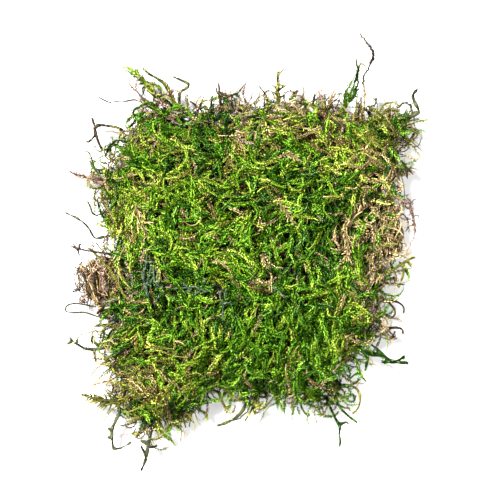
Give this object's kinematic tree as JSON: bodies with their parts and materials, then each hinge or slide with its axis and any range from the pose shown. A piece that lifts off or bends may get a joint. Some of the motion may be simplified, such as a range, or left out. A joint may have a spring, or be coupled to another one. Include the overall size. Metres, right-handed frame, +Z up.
{
  "type": "moss clump",
  "caption": "Clump of feather moss: a green mat of woven leafy shoots, cut flat below, with dead brown thatch and loose stems around its rim.",
  "frame": {"origin": "middle of the clump's bounding box, on the flat cut that it rests on", "axes": "+Z up out of the moss; +Y along the clump's longest extent, towards the top of the picture; +X to the picture's right"},
  "size_m": [0.1147, 0.1402, 0.0213],
  "materials": {
    "living_moss": "leafy, soft sheen",
    "yellow_shoot": "leafy, soft sheen",
    "dark_stem": "dull",
    "brown_stem": "dull",
    "dead_thatch": "dry, matt",
    "tan_frond": "dry, papery",
    "grey_hair": "dry, matt"
  },
  "bodies": {
    "root": {"moss_pad": "living_moss", "dead_thatch_left": "dead_thatch", "dead_thatch_right": "dead_thatch", "green_frond_top_left": "living_moss", "dark_stem_top_left": "dark_stem", "dark_hook_top_left": "dark_stem", "hair_top_left": "grey_hair", "brown_fork_top_left": "brown_stem", "square_loop_left": "brown_stem", "thin_hook_left": "dark_stem", "shaggy_tail_left": "dead_thatch", "curled_stem_left": "dark_stem", "long_stem_left": "dark_stem", "twiglet_left": "brown_stem", "hair_loop_left": "grey_hair", "yellow_shoot_left": "yellow_shoot", "branching_twig_left": "dark_stem", "low_arc_left": "dark_stem", "feather_frond_bottom_left": "living_moss", "looped_stem_bottom_left": "brown_stem", "dark_stem_bottom_left": "dark_stem", "yellow_shoot_bottom_left": "yellow_shoot", "longest_stem_bottom": "dark_stem", "hook_bottom": "living_moss", "arc_stem_bottom": "dark_stem", "curled_shoot_bottom": "living_moss", "forked_stem_bottom": "dark_stem", "dark_fork_bottom_right": "dark_stem", "green_stem_bottom_right": "living_moss", "arc_stem_bottom_right": "yellow_shoot", "bead_stem_bottom_right": "living_moss", "drooping_shoot_bottom_right": "yellow_shoot", "dark_branch_bottom_right": "living_moss", "branching_stem_right": "yellow_shoot", "dark_twig_right": "dark_stem", "upper_curl_right": "brown_stem", "lower_curl_right": "brown_stem", "upper_twigs_right": "brown_stem", "hook_right": "grey_hair", "short_twig_right": "dark_stem", "curled_tendril_top_right": "living_moss", "twig_top_right": "dark_stem", "tall_frond_top_right": "living_moss", "long_tendril_top_right": "brown_stem", "spruce_shoot_top": "living_moss", "thin_twig_top": "brown_stem", "brown_twigs_top": "brown_stem", "short_twig_top": "dark_stem", "forked_twig_top": "brown_stem", "tan_feather_left": "tan_frond", "tan_strip_middle": "tan_frond", "dead_frond_right": "tan_frond", "tan_fan_right": "tan_frond", "pale_curl_middle": "tan_frond", "pale_strand_top": "tan_frond", "yellow_strand_top": "yellow_shoot", "grey_fork_middle": "grey_hair"}
  },
  "joints": []
}
